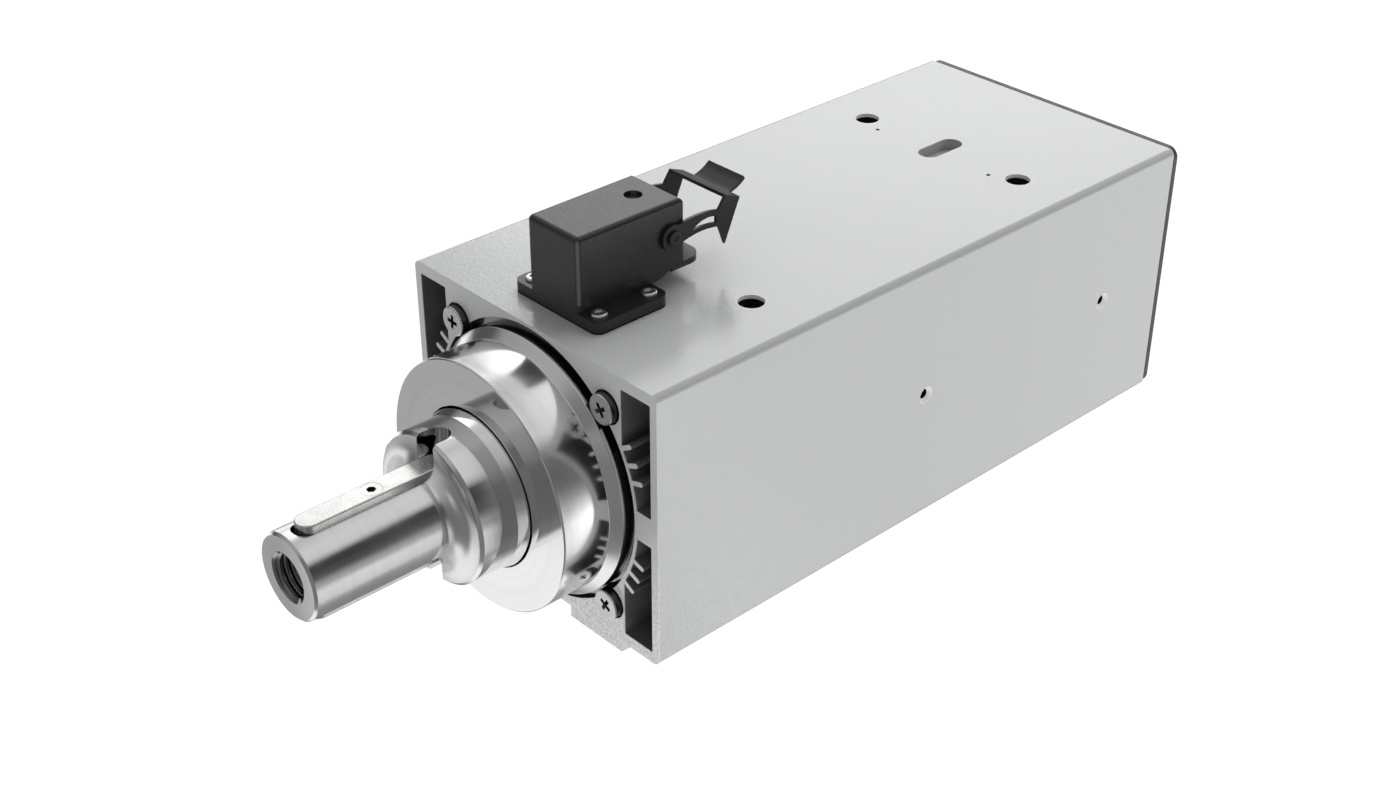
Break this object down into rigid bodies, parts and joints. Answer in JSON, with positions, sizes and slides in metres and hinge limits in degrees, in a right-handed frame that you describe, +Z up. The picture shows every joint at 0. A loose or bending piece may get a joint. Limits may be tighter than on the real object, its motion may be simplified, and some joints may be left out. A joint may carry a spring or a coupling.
{
  "type": "spindle motor",
  "caption": "Square finned spindle motor with a keyed shaft nose, foot rails, front bearing boss, rear fan grille and a rooftop power connector with a locking lever.",
  "frame": {"origin": "on the floor plane of the foot rails, in the middle of the whole length and width", "axes": "+Y along the shaft from its nose to the rear grille, +Z up towards the connector, +X across"},
  "size_m": [0.142, 0.4226, 0.1612],
  "materials": {
    "housing_coat": "light grey baked coat with a fine orange peel over an aluminium extrusion",
    "turned_steel": "finely turned and polished steel",
    "screw_steel": "bright zinc-plated steel",
    "bearing_steel": "ground and polished bearing steel",
    "cage_brass": "machined brass",
    "lamination_steel": "stacked varnished laminations",
    "winding_copper": "enamelled copper under varnish",
    "cast_aluminium": "plain cast aluminium",
    "cover_coat": "mid grey coated steel sheet",
    "gasket_rubber": "black sheet gasket",
    "connector_plastic": "dark grey moulded plastic",
    "lever_steel": "black coated spring steel",
    "insert_plastic": "pale grey contact plastic",
    "contact_plating": "silver-plated contacts",
    "lead_sleeve": "black sleeved leads",
    "fan_plastic": "black moulded plastic"
  },
  "bodies": {
    "motor_frame": {"housing": "housing_coat", "front_bearing_housing": "turned_steel", "front_flange_screws": "screw_steel", "front_flange_washers": "screw_steel", "front_bearing_outer_rings": "bearing_steel", "bearing_retainer": "turned_steel", "retainer_screws": "screw_steel", "stator_core": "lamination_steel", "winding": "winding_copper", "motor_leads": "lead_sleeve", "rear_bearing_shield": "cast_aluminium", "rear_shield_screws": "screw_steel", "rear_bearing_outer_ring": "bearing_steel", "preload_spring": "bearing_steel", "rear_gasket": "gasket_rubber", "rear_cover": "cover_coat", "rear_cover_screws": "screw_steel", "connector_gasket": "gasket_rubber", "connector_housing": "connector_plastic", "connector_screws": "screw_steel", "contact_insert": "insert_plastic", "contact_pins": "contact_plating", "lever_pins": "screw_steel"},
    "rotor": {"spindle_shaft": "turned_steel", "shaft_keys": "turned_steel", "key_screws": "screw_steel", "front_bearing_inner_rings": "bearing_steel", "lock_washer": "screw_steel", "lock_nut": "turned_steel", "rotor_core": "lamination_steel", "rotor_end_rings": "cast_aluminium", "rear_bearing_inner_ring": "bearing_steel", "shaft_circlips": "screw_steel", "cooling_fan": "fan_plastic"},
    "front_ball_set": {"front_balls": "bearing_steel", "front_ball_cages": "cage_brass"},
    "rear_ball_set": {"rear_balls": "bearing_steel", "rear_ball_cage": "cage_brass"},
    "locking_lever_body": {"locking_lever": "lever_steel"}
  },
  "joints": [
    {"name": "rotor_spin", "type": "hinge", "parent": "motor_frame", "child": "rotor", "pos_m": [0, 0, 0.0652], "axis": [0, 1, 0], "continuous": true},
    {"name": "front_balls_spin", "type": "hinge", "parent": "motor_frame", "child": "front_ball_set", "pos_m": [0, 0, 0.0652], "axis": [0, 1, 0], "continuous": true},
    {"name": "rear_balls_spin", "type": "hinge", "parent": "motor_frame", "child": "rear_ball_set", "pos_m": [0, 0, 0.0652], "axis": [0, 1, 0], "continuous": true},
    {"name": "lever_swing", "type": "hinge", "parent": "motor_frame", "child": "locking_lever_body", "pos_m": [0, -0.0409, 0.1468], "axis": [1, 0, 0], "range_deg": [-10, 100]}
  ],
  "couplings": [
    {"joint": "front_balls_spin", "follows": "rotor_spin", "ratio": 0.41},
    {"joint": "rear_balls_spin", "follows": "rotor_spin", "ratio": 0.4043}
  ]
}
